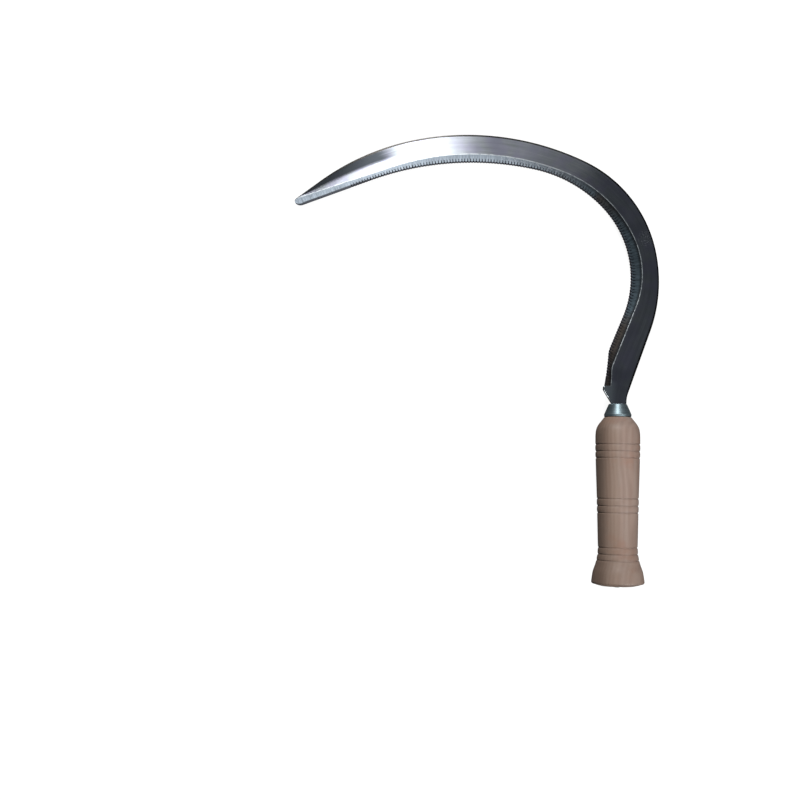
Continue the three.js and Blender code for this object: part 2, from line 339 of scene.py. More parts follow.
def spline_points(points, steps):
    """A Catmull-Rom spline through the points, with this many steps between two of them."""
    last = len(points) - 1
    found = []
    for i in range(last):
        p0, p1, p2, p3 = (Vector(points[min(max(k, 0), last)]) for k in range(i - 1, i + 3))
        for k in range(steps):
            t = k / steps
            tangent_in = (p2 - p0) / 2
            tangent_out = (p3 - p1) / 2
            found.append(
                (2 * t**3 - 3 * t**2 + 1) * p1
                + (t**3 - 2 * t**2 + t) * tangent_in
                + (-2 * t**3 + 3 * t**2) * p2
                + (t**3 - t**2) * tangent_out
            )
    found.append(Vector(points[last]))
    return found


# ---- Blade stations ----
class Station:
    """One section of the blade, along a line from the cutting edge over the ridge to the spine."""

    def __init__(self, edge, ridge, spine, along, kind="ground", notch=None, ground_width=None):
        self.edge = edge
        self.spine = spine
        self.width = (spine - edge).length
        self.ridge_at = min((ridge - edge).length, self.width)
        self.along = along  # distance along the blade, for its texture
        self.kind = kind
        self.notch = notch  # distance along the edge from the nearest notch, if there is one
        self.ground_width = ground_width or self.ridge_at


spine_line = ArcChain(*SPINE)
edge_line = ArcChain(*EDGE)
ridge_line = ArcChain(*RIDGE)


def edge_stops():
    """(distance along the edge, distance from the nearest notch or None), from the heel to the tip."""
    last = edge_line.length - TIP_LENGTH
    stops = []
    at = 0.0
    while at < TOOTH_FIRST - TOOTH_PITCH / 2 - PLAIN_MARGIN:
        stops.append((at, None))
        at += PLAIN_STEP
    centre = TOOTH_FIRST
    while centre <= TOOTH_LAST:
        stops.extend((centre + offset, offset) for offset in NOTCH_STATIONS)
        centre += TOOTH_PITCH
    at = centre - TOOTH_PITCH / 2
    while at < last:
        stops.append((at, None))
        at += PLAIN_STEP
    stops.append((last, None))
    return stops


def across_from(on_ridge, guess):
    """How far along the spine the line lies that is square to the ridge at this place."""
    return spine_line.crossing(ridge_line.point(on_ridge), ridge_line.direction(on_ridge), guess)


def ground_stations():
    stations = []
    at_plunge = ridge_line.foot(PLUNGE, RIDGE_GUESS)
    on_ridge = at_plunge
    on_spine = SPINE_GUESS
    even_start = across_from(EVEN_FROM, on_spine)
    even_end = across_from(EVEN_TO, even_start)
    for distance, notch in edge_stops():
        edge = edge_line.point(distance)
        on_ridge = max(at_plunge, ridge_line.foot(edge, on_ridge))
        ridge = ridge_line.point(on_ridge)
        if EVEN_FROM < on_ridge < EVEN_TO:
            share = (on_ridge - EVEN_FROM) / (EVEN_TO - EVEN_FROM)
            on_spine = even_start + (even_end - even_start) * share
        else:
            on_spine = across_from(on_ridge, on_spine)
        stations.append(Station(edge, ridge, spine_line.point(on_spine), on_ridge, notch=notch))
    return stations, on_spine


def beside_ridge(at, point):
    """How far the point is along the ridge's direction at a place on it, and towards the cutting edge."""
    direction = ridge_line.direction(at)
    offset = point - ridge_line.point(at)
    return offset.dot(direction), offset.dot(Vector((-direction.y, direction.x)))


def signed_distance(point):
    """The distance from the ridge's line, positive on the side of the cutting edge."""
    return beside_ridge(ridge_line.foot(point, ridge_line.length), point)[1]


def tip_stations(last, on_spine):
    """The stations of the rounded tip, drawn together to its point."""
    edge_end = edge_line.point(edge_line.length)
    spine_end = spine_line.point(spine_line.length)
    edge_handle = edge_end + TIP_HANDLE * edge_line.direction(edge_line.length)
    spine_handle = spine_end + TIP_HANDLE * spine_line.direction(spine_line.length)

    def lower(share):
        if share < 0.5:
            return edge_line.point(edge_line.length - TIP_LENGTH * (1 - 2 * share))
        return bezier(edge_end, edge_handle, spine_handle, spine_end, share - 0.5)

    def upper(share):
        if share < 0.5:
            return spine_line.point(on_spine + (spine_line.length - on_spine) * 2 * share)
        return bezier(spine_end, spine_handle, edge_handle, edge_end, share - 0.5)

    stations = []
    for k in range(1, TIP_STEPS):
        share = k / TIP_STEPS
        edge, spine = lower(share), upper(share)
        edge_height = signed_distance(edge)
        spine_height = signed_distance(spine)
        cut = edge_height / (edge_height - spine_height) if spine_height < 0 else 1.0
        ridge = edge.lerp(spine, cut)
        along = last.along + TIP_LENGTH * TIP_TEXTURE * share
        station = Station(edge, ridge, spine, along, "tip", ground_width=last.ground_width)
        station.edge_height = edge_height
        station.spine_height = spine_height
        stations.append(station)
    return stations, lower(1.0)


def heel_stations(first):
    """From the neck's shoulder up to the line where the grinding stops."""
    outline = [HEEL_FOOT.lerp(HEEL_POINT, k / HEEL_STEPS) for k in range(HEEL_STEPS)]
    outline += [HEEL_POINT + Vector((0.16, -0.1)), HEEL_POINT + Vector((-0.02, 0.35))]
    outline += [HEEL_POINT.lerp(HEEL_CORNER, 0.5), HEEL_CORNER.lerp(HEEL_POINT, 0.12)]
    outline += [HEEL_CORNER + Vector((0.12, 0.13)), HEEL_CORNER.lerp(first.edge, 0.7)]
    lengths = [0.0]
    for a, b in zip(outline, outline[1:]):
        lengths.append(lengths[-1] + (b - a).length)
    spine_first = spine_line.foot(first.spine, SPINE_GUESS)
    spine_low = Vector((SPINE[0][0], SHOULDER_Y))
    stations = []
    for point, length in zip(outline, lengths):
        share = length / lengths[-1]
        on_spine = spine_first * share - PLUNGE_RUN
        spine = spine_line.point(on_spine) if share > 0 else spine_low
        middle = Vector((NECK_MIDDLE_X, SHOULDER_Y)).lerp(PLUNGE, share)
        middle.y -= PLUNGE_RUN * share
        ridge = point + (spine - point) * ((middle - point).length / (spine - point).length)
        stations.append(Station(point, ridge, spine, first.along, "plain"))
    return stations


def tang_stations():
    stations = []
    count = int((SHOULDER_Y - TANG_END_Y) / TANG_STEP)
    for k in range(count + 1):
        share = k / count
        y = TANG_END_Y + (SHOULDER_Y - TANG_END_Y) * share
        half = TANG_END_HALF_WIDTH + (TANG_TOP_HALF_WIDTH - TANG_END_HALF_WIDTH) * share
        along = y - PLUNGE.y
        stations.append(Station(Vector((-half, y)), Vector((0, y)), Vector((half, y)), along, "tang"))
    return stations


# ---- Blade section ----
def softened(distance, blend):
    """The distance past the ridge, with the ridge's corner rounded over the blend."""
    if distance <= -blend:
        return 0.0
    if distance >= blend:
        return distance
    return (distance + blend) ** 2 / (4 * blend)


def ground_drop(distance, ground_width, blend):
    past = softened(distance, blend)
    face_width = ground_width - BEVEL_WIDTH
    t = min(past / face_width, 1)
    over = max(past - face_width, 0)
    return FACE_DROP * t + 4 * FACE_HOLLOW * t * (1 - t) + BEVEL_DROP * over / BEVEL_WIDTH


def notch_depth(station, distance):
    """How deep a serration cuts at a distance from the cutting edge."""
    if station.notch is None:
        return 0.0
    reach = 1 - distance / NOTCH_LENGTH
    half_width = NOTCH_HALF_WIDTH * reach
    if abs(station.notch) >= half_width:
        return 0.0
    return NOTCH_DEPTH * reach * (1 - abs(station.notch) / half_width)


def notch_shade(station, distance):
    """How much painted shade a serration has, in a wedge a little larger than the cut itself."""
    if station.notch is None or distance >= SHADE_LENGTH:
        return 0.0
    half_width = SHADE_HALF_WIDTH * (1 - distance / SHADE_LENGTH)
    return max(1 - abs(station.notch) / half_width, 0.0)


def edge_recess(station):
    """How far a serration cuts back into the outline of the edge."""
    for k in range(RECESS_STEPS):
        distance = k * RECESS_STEP
        drop = ground_drop(station.ridge_at - distance, station.ground_width, RIDGE_BLEND)
        if 2 * PLATE_TOP - drop - notch_depth(station, distance) >= THINNEST:
            return distance
    return RECESS_STEPS * RECESS_STEP


def top_height(station, distance, blend):
    if station.kind == "ground":
        drop = ground_drop(station.ridge_at - distance, station.ground_width, blend)
        return PLATE_TOP - drop - notch_depth(station, distance)
    if station.kind == "tip":
        share = distance / station.width
        past = station.edge_height + (station.spine_height - station.edge_height) * share
        return PLATE_TOP - ground_drop(past, station.ground_width, blend)
    if station.kind == "tang":
        return TANG_HALF_THICKNESS
    return PLATE_TOP - CHAMFER_DROP * max(0.0, 1 - distance / CHAMFER_WIDTH)


def heel_shade_and_highlight(distance):
    """Painted shade along the heel's very edge, and a painted highlight where its chamfer meets the face.
    """
    if distance < HIGHLIGHT_FROM:
        return RIM_SHADE
    return CHAMFER_HIGHLIGHT if distance < HIGHLIGHT_TO else 0.0


def marks_at(station, distance):
    """The marks of a place on the upper face."""
    past = station.ridge_at - distance
    if station.kind in ("ground", "tip"):
        return past, distance, notch_shade(station, distance)
    if station.kind == "plain":
        return min(past, -1.0), FAR, heel_shade_and_highlight(distance)
    return PLAIN_MARKS


def top_rows(station, scale, recess, top_end):
    """The distances from the edge at which the upper face has its points."""
    ridge_at = station.ridge_at
    blend = RIDGE_BLEND * scale
    inner = EDGE_ROWS[-1] * scale
    ground_end = max(ridge_at - blend, inner)
    face_start = min(ridge_at + blend, top_end)
    rows = [recess + row * scale * (inner - recess) / inner for row in EDGE_ROWS]
    rows += [inner + share * (ground_end - inner) for share in GROUND_SHARES]
    rows += [ridge_at - row * scale for row in RIDGE_ROWS]
    rows += [face_start + share * (top_end - face_start) for share in FACE_SHARES]
    return [min(row, top_end) for row in rows]


def section(station):
    """The section's loop: a list of (distance from the edge, z, texture's place across, marks)."""
    scale = min(1.0, station.width / NARROW)
    blend = RIDGE_BLEND * scale
    recess = edge_recess(station) if station.notch is not None else 0.0
    top_end = station.width - EDGE_ROUND * scale - SPINE_INSET * scale
    loop = []
    for distance in top_rows(station, scale, recess, top_end):
        past = station.ridge_at - distance
        side = station.ground_width if past > 0 else max(station.width - station.ridge_at, 1.0)
        z = top_height(station, distance, blend)
        loop.append((distance, z, past / side * SPREAD, marks_at(station, distance)))
    top = top_height(station, top_end, blend)
    bottom = -TANG_HALF_THICKNESS if station.kind == "tang" else BACK_LIFT - PLATE_TOP
    radius = min(EDGE_ROUND * scale, (top - bottom) / 2)
    turns = [math.radians(angle) for angle in ROUND_ANGLES]
    rounding = [(top_end + radius * math.sin(t), radius * (1 - math.cos(t))) for t in turns]
    # The spine's rounded rim carries painted shade.
    loop += [(out, top - down, ROUND_TOP_ACROSS, RIM_SHADE_MARKS) for out, down in rounding]
    loop.append((top_end + radius, (top + bottom) / 2, SPINE_ACROSS, RIM_SHADE_MARKS))
    loop += [(out, bottom + up, ROUND_BACK_ACROSS, PLAIN_MARKS) for out, up in reversed(rounding)]
    for share in BACK_SHARES:
        across = BACK_ACROSS + (BACK_END_ACROSS - BACK_ACROSS) * share
        loop.append((top_end + (recess - top_end) * share, bottom, across, PLAIN_MARKS))
    loop.append((recess, bottom, BACK_END_ACROSS, PLAIN_MARKS))
    return loop


GROUND_COUNT = len(EDGE_ROWS) + len(GROUND_SHARES) + len(RIDGE_ROWS) // 2


def rivet_rings(count, start_y):
    """Rings of the rivet's dome, from its foot to its top, as many points as a blade section has."""
    angles = [math.radians(180) - math.radians(360) * (j - 0.5) / count for j in range(count)]
    for k in range(RIVET_RINGS):
        turn = math.radians(90) * k / RIVET_RINGS
        radius = RIVET_RADIUS * math.cos(turn)
        y = start_y - RIVET_HEIGHT * math.sin(turn) ** DOME_POWER if k else start_y
        yield [(radius * math.cos(angle), y, radius * math.sin(angle)) for angle in angles]


def straight_texture(place, across, near):
    """The texture's place beyond a station, where the brush lines run straight on from the ridge."""
    ahead, past = beside_ridge(near.along, place)
    along = near.along + ahead
    if across < -SPREAD:
        return along, across
    side = near.ground_width if past > 0 else near.width - near.ridge_at
    return along, past / side * SPREAD


class Skin:
    """The blade's surface while it is built up: points with texture places and marks, and faces."""

    def __init__(self):
        self.positions, self.texture, self.marks, self.faces = [], [], [], []

    def add(self, position, texture, marks):
        self.positions.append(position)
        self.texture.append(texture)
        self.marks.append(marks)


def add_stations(skin, stations, first, last):
    """The sections of the stations, joined up. Their texture runs straight on before first, after last."""
    for station in stations:
        loop = section(station)
        toward = (station.spine - station.edge).normalized()
        for distance, z, across, marks in loop:
            place = station.edge + toward * distance
            texture = (station.along, across)
            if station.kind == "tip":
                texture = straight_texture(place, across, last)
            elif station.along == first.along:
                texture = straight_texture(place, across, first)
            skin.add((place.x, place.y, z), texture, marks)
    count = len(loop)
    for i in range(len(stations) - 1):
        for j in range(count):
            k = (j + 1) % count
            here, there = i * count, (i + 1) * count
            skin.faces.append((here + j, there + j, there + k, here + k))
    return count


def add_rivet(skin, count):
    """The rivet's dome on the first station, which is the tang's end."""
    below = 0
    for ring in rivet_rings(count, TANG_END_Y):
        here = len(skin.positions)
        for j in range(count):
            k = (j + 1) % count
            x, _, z = ring[j]
            skin.add(ring[j], (RIVET_ALONG - x, z), RIVET_MARKS)
            skin.faces.append((below + j, below + k, here + k, here + j))
        below = here
    cap = len(skin.positions)
    skin.add((0, TANG_END_Y - RIVET_HEIGHT, 0), (RIVET_ALONG, 0), RIVET_MARKS)
    skin.faces.extend((below + j, below + (j + 1) % count, cap) for j in range(count))


def blade_mesh():
    main, on_spine = ground_stations()
    tips, point = tip_stations(main[-1], on_spine)
    stations = tang_stations() + heel_stations(main[0]) + main + tips
    skin = Skin()
    count = add_stations(skin, stations, main[0], main[-1])
    tip = len(skin.positions)
    last = tip - count
    skin.add((point.x, point.y, TIP_Z), (stations[-1].along + 1, TIP_ACROSS), TIP_MARKS)
    skin.faces.extend((last + j, tip, last + (j + 1) % count) for j in range(count))
    add_rivet(skin, count)
    mesh = bpy.data.meshes.new("sickle_blade")
    mesh.from_pydata(skin.positions, [], skin.faces)
    for face in range(last):
        ground = stations[face // count].kind in ("ground", "tip") and face % count < GROUND_COUNT
        mesh.polygons[face].material_index = int(ground)
    paint_coordinates(mesh, skin.texture)
    store_vectors(mesh, "marks", skin.marks)
    return mesh


def paint_coordinates(mesh, texture):
    """Texture places along and across the blade, in millimetres over 100."""
    layer = mesh.uv_layers.new(name="brush")
    for loop in mesh.loops:
        along, across = texture[loop.vertex_index]
        layer.data[loop.index].uv = (along / 100, across / 100)


def store_vectors(mesh, name, values):
    attribute = mesh.attributes.new(name, "FLOAT_VECTOR", "POINT")
    attribute.data.foreach_set("vector", np.array(values, np.float32).ravel())


# ---- Turned pieces ----
def turned_mesh(name, profile):
    """A closed body turned about the Y axis, from a profile of (radius, y) that starts and ends on it."""
    mesh = bpy.data.meshes.new(name)
    shape = bmesh.new()
    rings = []
    for radius, y in profile:
        if radius < 1e-6:
            rings.append([shape.verts.new((0, y, 0))])
            continue
        turns = (math.tau * k / SIDES for k in range(SIDES))
        rings.append([shape.verts.new((radius * math.sin(t), y, radius * math.cos(t))) for t in turns])
    for low, high in zip(rings, rings[1:]):
        for k in range(SIDES):
            n = (k + 1) % SIDES
            corners = [low[k % len(low)], low[n % len(low)], high[n % len(high)], high[k % len(high)]]
            face = list(dict.fromkeys(corners))
            if len(face) > 2:
                shape.faces.new(face)
    bmesh.ops.recalc_face_normals(shape, faces=shape.faces)
    shape.to_mesh(mesh)
    shape.free()
    return mesh


def arc_points(centre, radius, start, end, steps):
    """Points of an arc in the profile's plane, from one angle in degrees to another."""
    angles = (math.radians(start + (end - start) * k / steps) for k in range(steps + 1))
    return [(centre[0] + radius * math.cos(a), centre[1] + radius * math.sin(a)) for a in angles]


def handle_radius(outline, y):
    for a, b in zip(outline, outline[1:]):
        if a.y <= y <= b.y:
            return a.x + (b.x - a.x) * (y - a.y) / (b.y - a.y)
    return outline[-1].x


def groove_change(y):
    """How much the grooves take off the outline, and the low beads between them add."""
    for centres in GROOVE_SETS:
        for centre in centres:
            if abs(y - centre) < GROOVE_HALF_WIDTH:
                return -GROOVE_DEPTH * (0.5 + 0.5 * math.cos(math.pi * (y - centre) / GROOVE_HALF_WIDTH))
        for low, high in zip(centres, centres[1:]):
            start, end = low + GROOVE_HALF_WIDTH, high - GROOVE_HALF_WIDTH
            if start <= y <= end:
                return BEAD_HEIGHT * math.sin(math.pi * (y - start) / (end - start))
    return 0.0


def handle_profile():
    outline = spline_points(HANDLE_OUTLINE, 24)
    heights = []
    y = HANDLE_OUTLINE[0][1]
    while y < HANDLE_OUTLINE[-1][1]:
        heights.append(y)
        near = any(abs(y - c) < GROOVE_HALF_WIDTH + 0.3 for centres in GROOVE_SETS for c in centres)
        y += GROOVE_STEP if near else SIDE_STEP
    sides = [(handle_radius(outline, y) + groove_change(y) - HANDLE_INSET, y) for y in heights]
    seat = WASHER_THICKNESS + GAP
    tenon = FERRULE_OUTSIDE[0][0] - SHEET - GAP
    top = FERRULE_TOP_Y - SHEET - GAP
    bore = WASHER_RADIUS + GAP
    butt = [(0, seat), (bore, seat)]
    butt += arc_points((bore + SEAT_ROUND, SEAT_ROUND), SEAT_ROUND, 180, 270, 4)
    butt += [(9.0, 0.0), (BUTT_FLAT_RADIUS - 1.2, 0.0)]
    butt += [(BUTT_FLAT_RADIUS + 1.0, 0.12), (BUTT_FLAT_RADIUS + 4.5, 0.95), (BUTT_RIM_RADIUS - 1.9, 1.65)]
    butt += arc_points((BUTT_RIM_RADIUS - 1.65, 3.2), BUTT_RIM_ROUND, -70, 12, 10)
    shoulder = (FERRULE_OUTSIDE[0][0] - SHOULDER_ROUND, FERRULE_FOOT_Y - GAP - SHOULDER_ROUND)
    neck = arc_points(shoulder, SHOULDER_ROUND, 20, 90, 4)
    inner = [(max(r - SHEET - GAP, 0.5), min(y, top)) for r, y in FERRULE_OUTSIDE]
    return butt + sides + neck + [(tenon, FERRULE_FOOT_Y - GAP)] + inner + [(0, top)]


def ferrule_profile():
    foot_radius = Vector(FERRULE_OUTSIDE[0]).x
    smooth = spline_points(FERRULE_OUTSIDE, 6)
    foot_centre = (foot_radius - FERRULE_FOOT_ROUND, FERRULE_FOOT_Y + FERRULE_FOOT_ROUND)
    foot = arc_points(foot_centre, FERRULE_FOOT_ROUND, -60, 0, 4)
    outside = []
    for p in smooth:
        if p.y > FERRULE_FOOT_Y + 0.4:
            from_bead = (p.y - FERRULE_BEAD_Y) / FERRULE_BEAD_WIDTH
            outside.append((p.x + FERRULE_BEAD_HEIGHT * math.exp(-(from_bead**2)), p.y))
    inside = [(max(p.x - SHEET, 1.0), min(p.y, FERRULE_TOP_Y - SHEET)) for p in reversed(smooth)]
    start = [(0, FERRULE_TOP_Y - SHEET)]
    bottom = [(foot_radius - SHEET, FERRULE_FOOT_Y)]
    top = [(3.0, FERRULE_TOP_Y), (0, FERRULE_TOP_Y)]
    return start + inside + bottom + foot + outside + top


def washer_profile():
    low = arc_points((WASHER_RADIUS - WASHER_ROUND, WASHER_ROUND), WASHER_ROUND, -90, 0, 5)
    high_centre = (WASHER_RADIUS - WASHER_TOP_ROUND, WASHER_THICKNESS - WASHER_TOP_ROUND)
    high = arc_points(high_centre, WASHER_TOP_ROUND, 0, 90, 3)
    return [(0, 0), (2.5, 0), (4.5, 0)] + low + high + [(0, WASHER_THICKNESS)]


def tang_cutter():
    """The slot that the tang passes through, with a gap all round."""
    low, high = -SLOT_OVERSHOOT, SHOULDER_Y + SLOT_OVERSHOOT
    slope = (TANG_TOP_HALF_WIDTH - TANG_END_HALF_WIDTH) / (SHOULDER_Y - TANG_END_Y)
    mesh = bpy.data.meshes.new("tang_slot")
    corners = []
    for y in (low, high):
        half = TANG_END_HALF_WIDTH + slope * (y - TANG_END_Y) + GAP
        for x, z in ((-half, -1), (half, -1), (half, 1), (-half, 1)):
            corners.append((x, y, z * (PLATE_TOP + GAP)))
    faces = [(0, 1, 2, 3), (7, 6, 5, 4), (0, 4, 5, 1), (1, 5, 6, 2), (2, 6, 7, 3), (3, 7, 4, 0)]
    mesh.from_pydata(corners, [], faces)
    tidied(mesh)
    return mesh


def slotted(mesh):
    """The mesh with the tang's slot cut out of it."""
    body = add_object(mesh.name, mesh)
    cutter = add_object("tang_slot", tang_cutter())
    cut = body.modifiers.new("slot", "BOOLEAN")
    cut.operation = "DIFFERENCE"
    cut.solver = "EXACT"
    cut.object = cutter
    graph = bpy.context.evaluated_depsgraph_get()
    made = bpy.data.meshes.new_from_object(body.evaluated_get(graph))
    bpy.data.objects.remove(body)
    bpy.data.objects.remove(cutter)
    made.name = mesh.name
    return made


def turning_coordinates(mesh):
    """Texture places for a turned piece: round its axis in u, along and outwards in v."""
    layer = mesh.uv_layers.new(name="brush")
    for polygon in mesh.polygons:
        middle = math.atan2(polygon.center.x, polygon.center.z)
        for loop in polygon.loop_indices:
            place = mesh.vertices[mesh.loops[loop].vertex_index].co
            turn = math.atan2(place.x, place.z)
            turn += math.tau * round((middle - turn) / math.tau)
            radius = math.hypot(place.x, place.z)
            layer.data[loop].uv = (turn / math.tau, (place.y - radius) / 100)


# ---- Materials ----
class Shader:
    """A material's node tree, with short calls that add a node and join it up."""

    def __init__(self, name):
        self.material = bpy.data.materials.new(name)
        self.material.use_nodes = True
        self.tree = self.material.node_tree
        self.surface = self.tree.nodes["Principled BSDF"]

    def node(self, kind, inputs=(), **settings):
        made = self.tree.nodes.new(kind)
        for name, value in settings.items():
            setattr(made, name, value)
        for name, value in dict(inputs).items():
            self.set(made.inputs[name], value)
        return made

    def set(self, socket, value):
        if isinstance(value, bpy.types.NodeSocket):
            self.tree.links.new(value, socket)
        else:
            socket.default_value = value

    def stretched(self, vector, scale):
        return self.node("ShaderNodeMapping", {"Vector": vector, "Scale": scale}).outputs["Vector"]

    def noise(self, vector, scale, detail=2.0, roughness=0.5):
        inputs = {"Vector": vector, "Scale": scale, "Detail": detail, "Roughness": roughness}
        return self.node("ShaderNodeTexNoise", inputs).outputs["Fac"]

    def math(self, operation, *values):
        made = self.node("ShaderNodeMath", operation=operation)
        for socket, value in zip(made.inputs, values):
            self.set(socket, value)
        return made.outputs["Value"]

    def times(self, a, b):
        return self.math("MULTIPLY", a, b)

    def plus(self, a, b):
        return self.math("ADD", a, b)

    def range(self, value, low, high, to_low=0.0, to_high=1.0):
        """From one number to another, as the value goes from low to high."""
        inputs = {"Value": value, "From Min": low, "From Max": high, "To Min": to_low, "To Max": to_high}
        return self.node("ShaderNodeMapRange", inputs, interpolation_type="SMOOTHSTEP").outputs["Result"]

    def contrast(self, noise, to_low=0.0, to_high=1.0):
        """The middle of a noise's values, drawn out over the whole range."""
        return self.range(noise, 0.3, 0.7, to_low, to_high)

    def mix(self, factor, a, b):
        made = self.node("ShaderNodeMix", data_type="RGBA")
        for index, value in ((0, factor), (6, a), (7, b)):
            self.set(made.inputs[index], value)
        return made.outputs[2]

    def bump(self, height, strength, distance):
        inputs = {"Height": height, "Strength": strength, "Distance": distance}
        return self.node("ShaderNodeBump", inputs).outputs["Normal"]

    def flecks(self, vector, scale):
        """Small spots with soft edges."""
        return self.range(self.noise(vector, scale, 2.0), 0.54, 0.64)

    def attribute(self, name):
        return self.node("ShaderNodeAttribute", attribute_name=name).outputs["Vector"]

    def parts(self, vector):
        return self.node("ShaderNodeSeparateXYZ", {"Vector": vector}).outputs

    def joined(self, **parts):
        return self.node("ShaderNodeCombineXYZ", parts).outputs["Vector"]

    def length(self, vector, origin=(0, 0, 0)):
        inputs = {0: vector, 1: origin}
        return self.node("ShaderNodeVectorMath", inputs, operation="DISTANCE").outputs["Value"]

    def finish_steel(self, tone, rough, anisotropic, lines):
        """Sets the surface to steel whose highlight is drawn out across its brush lines."""
        tangent = self.node("ShaderNodeTangent", direction_type="UV_MAP", uv_map="brush")
        return self.finish(
            Base_Color=tone,
            Metallic=1.0,
            Roughness=rough,
            Anisotropic=anisotropic,
            Anisotropic_Rotation=0.25,
            Tangent=tangent.outputs["Tangent"],
            Normal=self.bump(lines, 0.2, STEEL_RELIEF),
        )

    def finish(self, **sockets):
        for name, value in sockets.items():
            self.set(self.surface.inputs[name.replace("_", " ")], value)
        return self.material


def rgb(red, green, blue):
    return (red, green, blue, 1.0)


def brushed_coordinates(s):
    """The blade's texture place in millimetres, along it and across it."""
    place = s.node("ShaderNodeUVMap", uv_map="brush").outputs["UV"]
    return s.stretched(place, (100, 100, 1))


def ridge_highlight_and_wear(s, ridge, tool):
    """How bright the ridge's corner is: a painted highlight, with some wear."""
    on_ridge = s.range(s.math("ABSOLUTE", ridge), 0.1, 0.5, 1.0, 0.0)
    return s.times(on_ridge, s.range(s.noise(tool, 0.35, 3.0), 0.35, 0.6, 0.3, 0.85))


def lighter_heel(s, x, y, cloud):
    left = s.range(s.plus(x, s.times(cloud, 8.0)), *HEEL_LIGHTER_X)
    return s.times(s.times(left, s.range(y, *HEEL_LIGHTER_Y)), 0.6)


def scuffed(s, tool):
    near = s.range(s.length(tool, SCUFF), 3.0, 9.0, 1.0, 0.0)
    return s.times(s.times(near, s.flecks(tool, 1.3)), 0.7)


def tip_painted_shade(s, along, across, fine, wide):
    """Painted shade outside the tip, with a streaky border."""
    by_tip = s.range(s.plus(along, s.times(wide, 20.0)), *TIP_SHADE_RISE)
    outside = s.range(s.plus(across, s.times(fine, 2.0)), -1.4, -3.2)
    return s.times(s.times(by_tip, outside), 0.96)


def blade_steel():
    """Steel brushed along the blade, darkened by handling and with painted shade outside the tip."""
    s = Shader("blade_steel")
    brush = brushed_coordinates(s)
    along, across, _ = s.parts(brush)
    ridge, _, painted_light_and_wear = s.parts(s.attribute("marks"))
    tool = s.attribute("tool")
    x, y, _ = s.parts(tool)
    fine = s.noise(s.stretched(brush, (0.03, 5.0, 1)), 1.0, 3.0, 0.6)
    wide = s.noise(s.stretched(brush, (0.015, 0.9, 1)), 1.0)
    cloud = s.noise(tool, 0.045, 3.0, 0.55)
    tint = s.noise(tool, 0.08)
    streak = s.plus(s.times(fine, 0.6), s.times(wide, 0.4))
    tone = s.mix(s.contrast(streak), rgb(0.20, 0.215, 0.235), rgb(0.32, 0.34, 0.365))
    tone = s.mix(s.range(tint, 0.35, 0.65, 0.0, 0.7), tone, rgb(0.245, 0.24, 0.32))
    tone = s.mix(s.range(cloud, 0.35, 0.68), s.mix(0.25, tone, rgb(0.1, 0.115, 0.12)), tone)
    tone = s.mix(tip_painted_shade(s, along, across, fine, wide), tone, rgb(0.014, 0.017, 0.02))
    tone = s.mix(lighter_heel(s, x, y, cloud), tone, rgb(0.62, 0.7, 0.72))
    tone = s.mix(scuffed(s, tool), tone, rgb(0.72, 0.72, 0.76))
    # Painted highlights on the ridge's corner and the heel's chamfer, and wear on the rivet.
    highlight_and_wear = s.math("MAXIMUM", ridge_highlight_and_wear(s, ridge, tool), s.range(painted_light_and_wear, -0.1, -0.6))
    tone = s.mix(highlight_and_wear, tone, rgb(0.85, 0.9, 0.92))
    # Painted shade in the serrations, along the spine's rim and along the heel's edge.
    tone = s.mix(s.range(painted_light_and_wear, 0.02, 0.25), tone, rgb(0.03, 0.028, 0.026))
    rough = s.plus(s.contrast(streak, 0.3, 0.38), s.times(highlight_and_wear, 0.3))
    return s.finish_steel(tone, rough, 1.0, fine)


def stain_coloured_shade(s, along, ridge, tool, lines):
    """The ground face's painted shade in stain colours: brown at the heel, then blue, then both, and darker
    below the ridge.
    """
    stain = s.noise(tool, 0.03)
    brown = s.mix(s.contrast(lines), rgb(0.032, 0.028, 0.025), rgb(0.06, 0.052, 0.047))
    blue = s.mix(s.contrast(lines), rgb(0.035, 0.047, 0.056), rgb(0.075, 0.1, 0.118))
    both = s.mix(s.range(stain, 0.4, 0.6), brown, blue)
    place = s.plus(along, s.times(stain, 60.0))
    tone = s.mix(s.range(place, *BLUE_RISE), brown, blue)
    tone = s.mix(s.range(place, *MIXED_RISE), tone, both)
    # Painted shade below the ridge, where the hollow grind is steepest.
    shade = s.range(s.plus(ridge, s.times(lines, 0.8)), 1.2, 3.4, 0.8, 0.0)
    return s.mix(shade, tone, rgb(0.016, 0.017, 0.02))


